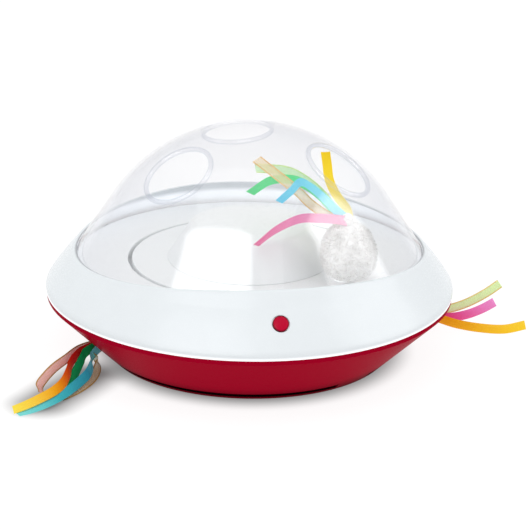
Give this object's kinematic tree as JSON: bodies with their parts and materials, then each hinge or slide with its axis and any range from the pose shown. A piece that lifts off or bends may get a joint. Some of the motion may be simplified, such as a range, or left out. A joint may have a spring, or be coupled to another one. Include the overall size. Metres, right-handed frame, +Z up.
{
  "type": "motion-activated cat toy",
  "caption": "Saucer-shaped electronic cat toy: clear dome with paw holes over a motor-driven turntable that whirls a plush lure, on a ribbon-tasselled base.",
  "frame": {"origin": "on the floor under the middle of the body, ribbons left out", "axes": "+Z up along the turntable's shaft, -Y towards the button, +X to the right seen from the button's side"},
  "size_m": [0.3453, 0.261, 0.1485],
  "materials": {
    "red_abs": "glossy moulded ABS, raspberry red",
    "white_abs": "glossy moulded ABS, white",
    "clear_dome": "clear polystyrene, polished",
    "button_red": "glossy moulded ABS",
    "dark_red_plastic": "moulded, satin",
    "grey_plastic": "moulded, satin",
    "black_plastic": "moulded, satin",
    "nylon": "natural nylon",
    "board_laminate": "green solder mask",
    "cell_jacket": "plain battery jacket",
    "plated_steel": "zinc plated",
    "brass": "turned",
    "foot_rubber": "moulded rubber",
    "plush": "short-pile plush, off-white",
    "pink_satin": "satin ribbon, pink",
    "cyan_satin": "satin ribbon, cyan",
    "green_satin": "satin ribbon, green",
    "orange_satin": "satin ribbon, orange running to yellow",
    "pink_organza": "sheer organza with a gold edge",
    "gold_organza": "sheer organza, gold",
    "lime_organza": "sheer organza, light green with a gold edge"
  },
  "bodies": {
    "housing": {"base_tub": "red_abs", "rubber_feet": "foot_rubber", "battery_door": "red_abs", "battery_door_screw": "plated_steel", "battery_cells": "cell_jacket", "battery_contacts": "plated_steel", "circuit_board": "board_laminate", "motion_sensor": "plated_steel", "mech_plate": "grey_plastic", "motor": "plated_steel", "idler_axle": "plated_steel", "plate_screws": "plated_steel", "track_deck": "white_abs", "shaft_bush": "brass", "deck_screws": "plated_steel", "housing_screws": "plated_steel", "upper_ring": "white_abs", "dome": "clear_dome", "tact_switch": "black_plastic", "button_board": "board_laminate", "button_board_screws": "plated_steel", "tassel_grommets": "dark_red_plastic", "left_ribbon_organza": "pink_organza", "left_ribbon_orange": "orange_satin", "left_ribbon_green": "green_satin", "left_ribbon_cyan": "cyan_satin", "left_ribbon_gold": "gold_organza", "right_ribbon_green": "lime_organza", "right_ribbon_pink": "pink_satin", "right_ribbon_orange": "orange_satin"},
    "rotor": {"drive_shaft": "plated_steel", "output_gear": "nylon", "turntable": "white_abs", "shaft_nut": "plated_steel", "hub_cone": "white_abs", "lure_peg": "white_abs", "lure_body": "plush", "lure_knot": "plush", "lure_ribbon_pink": "pink_satin", "lure_ribbon_cyan": "cyan_satin", "lure_ribbon_gold": "gold_organza", "lure_ribbon_green": "green_satin", "lure_ribbon_lime": "lime_organza", "lure_ribbon_yellow": "orange_satin"},
    "idler": {"idler_gear": "nylon"},
    "pinion": {"motor_pinion": "brass"},
    "button": {"power_button": "button_red"}
  },
  "joints": [
    {"name": "rotor_spin", "type": "hinge", "parent": "housing", "child": "rotor", "pos_m": [0, 0, 0.05], "axis": [0, 0, 1], "continuous": true},
    {"name": "idler_spin", "type": "hinge", "parent": "housing", "child": "idler", "pos_m": [-0.03, 0, 0.04], "axis": [0, 0, 1], "continuous": true},
    {"name": "pinion_spin", "type": "hinge", "parent": "housing", "child": "pinion", "pos_m": [-0.042, -0.02078, 0.04], "axis": [0, 0, 1], "continuous": true},
    {"name": "button_press", "type": "slide", "parent": "housing", "child": "button", "axis": [0, 0.7716, -0.6361], "range_m": [0, 0.0012], "stiffness_N_per_m": 400}
  ],
  "couplings": [
    {"joint": "idler_spin", "follows": "rotor_spin", "ratio": -4},
    {"joint": "pinion_spin", "follows": "rotor_spin", "ratio": 12}
  ]
}
